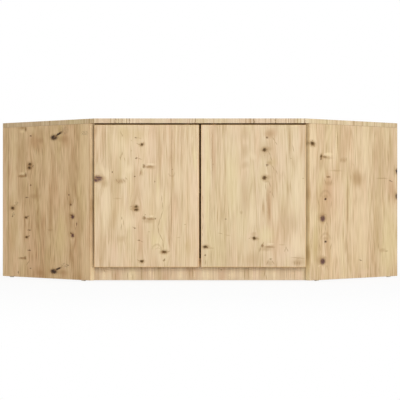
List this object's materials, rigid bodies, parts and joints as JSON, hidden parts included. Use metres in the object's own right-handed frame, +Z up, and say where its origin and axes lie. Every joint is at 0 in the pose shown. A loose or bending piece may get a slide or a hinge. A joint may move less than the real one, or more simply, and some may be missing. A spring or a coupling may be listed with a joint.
{
  "type": "corner cabinet",
  "caption": "Low corner cabinet of oak-decor board on a pentagon plan, with a hinged pair of plain push-to-open doors, a shelf and a recessed plinth.",
  "frame": {"origin": "on the floor under the middle of the cabinet's outline", "axes": "+X to the cabinet's right seen from the front, -Y towards the front, +Z up; the room's corner is at +Y"},
  "size_m": [1.4134, 1.0567, 0.55],
  "materials": {
    "oak_decor": "matt knotty oak decor on board, vertical grain",
    "back_board": "thin hardboard, oak print inside, raw brown outside",
    "nickel_steel": "nickel plated pressed steel",
    "zinc_steel": "zinc plated steel",
    "white_plastic": "white moulded plastic",
    "grey_plastic": "grey moulded plastic",
    "beech": "fluted beech dowel"
  },
  "bodies": {
    "cabinet": {"top_panel": "oak_decor", "bottom_panel": "oak_decor", "shelf": "oak_decor", "plinth_board": "oak_decor", "left_side_panel": "oak_decor", "left_rear_post": "oak_decor", "left_back_panel": "back_board", "left_lower_hinge_arm": "nickel_steel", "left_lower_hinge_plate": "nickel_steel", "left_upper_hinge_arm": "nickel_steel", "left_upper_hinge_plate": "nickel_steel", "left_latch_housing": "white_plastic", "left_plinth_block": "white_plastic", "left_latch_spring": "zinc_steel", "left_front_cam_lock": "zinc_steel", "left_front_cam_bolt": "zinc_steel", "left_front_bottom_dowel": "beech", "left_rear_cam_lock": "zinc_steel", "left_rear_cam_bolt": "zinc_steel", "left_rear_bottom_dowel": "beech", "left_front_shelf_pin": "nickel_steel", "left_front_glide": "grey_plastic", "left_rear_shelf_pin": "nickel_steel", "left_rear_glide": "grey_plastic", "left_post_shelf_pin": "nickel_steel", "left_post_glide": "grey_plastic", "right_side_panel": "oak_decor", "right_rear_post": "oak_decor", "right_back_panel": "back_board", "right_lower_hinge_arm": "nickel_steel", "right_lower_hinge_plate": "nickel_steel", "right_upper_hinge_arm": "nickel_steel", "right_upper_hinge_plate": "nickel_steel", "right_latch_housing": "white_plastic", "right_plinth_block": "white_plastic", "right_latch_spring": "zinc_steel", "right_front_cam_lock": "zinc_steel", "right_front_cam_bolt": "zinc_steel", "right_front_bottom_dowel": "beech", "right_rear_cam_lock": "zinc_steel", "right_rear_cam_bolt": "zinc_steel", "right_rear_bottom_dowel": "beech", "right_front_shelf_pin": "nickel_steel", "right_front_glide": "grey_plastic", "right_rear_shelf_pin": "nickel_steel", "right_rear_glide": "grey_plastic", "right_post_shelf_pin": "nickel_steel", "right_post_glide": "grey_plastic"},
    "left_door": {"left_door": "oak_decor", "left_lower_hinge_cup": "nickel_steel", "left_lower_hinge_pin": "zinc_steel", "left_upper_hinge_cup": "nickel_steel", "left_upper_hinge_pin": "zinc_steel"},
    "left_plunger": {"left_latch_plunger": "grey_plastic"},
    "right_door": {"right_door": "oak_decor", "right_lower_hinge_cup": "nickel_steel", "right_lower_hinge_pin": "zinc_steel", "right_upper_hinge_cup": "nickel_steel", "right_upper_hinge_pin": "zinc_steel"},
    "right_plunger": {"right_latch_plunger": "grey_plastic"}
  },
  "joints": [
    {"name": "left_door_hinge", "type": "hinge", "parent": "cabinet", "child": "left_door", "pos_m": [-0.34559, -0.51656, 0.289], "axis": [0, 0, -1], "range_deg": [0, 95]},
    {"name": "right_door_hinge", "type": "hinge", "parent": "cabinet", "child": "right_door", "pos_m": [0.34559, -0.51656, 0.289], "axis": [0, 0, 1], "range_deg": [0, 95]},
    {"name": "left_plunger_slide", "type": "slide", "parent": "cabinet", "child": "left_plunger", "axis": [0, -1, 0], "range_m": [0, 0.014]},
    {"name": "right_plunger_slide", "type": "slide", "parent": "cabinet", "child": "right_plunger", "axis": [0, -1, 0], "range_m": [0, 0.014]}
  ],
  "couplings": [
    {"joint": "left_plunger_slide", "follows": "left_door_hinge", "m_per_rad": 0.00844},
    {"joint": "right_plunger_slide", "follows": "right_door_hinge", "m_per_rad": 0.00844}
  ]
}
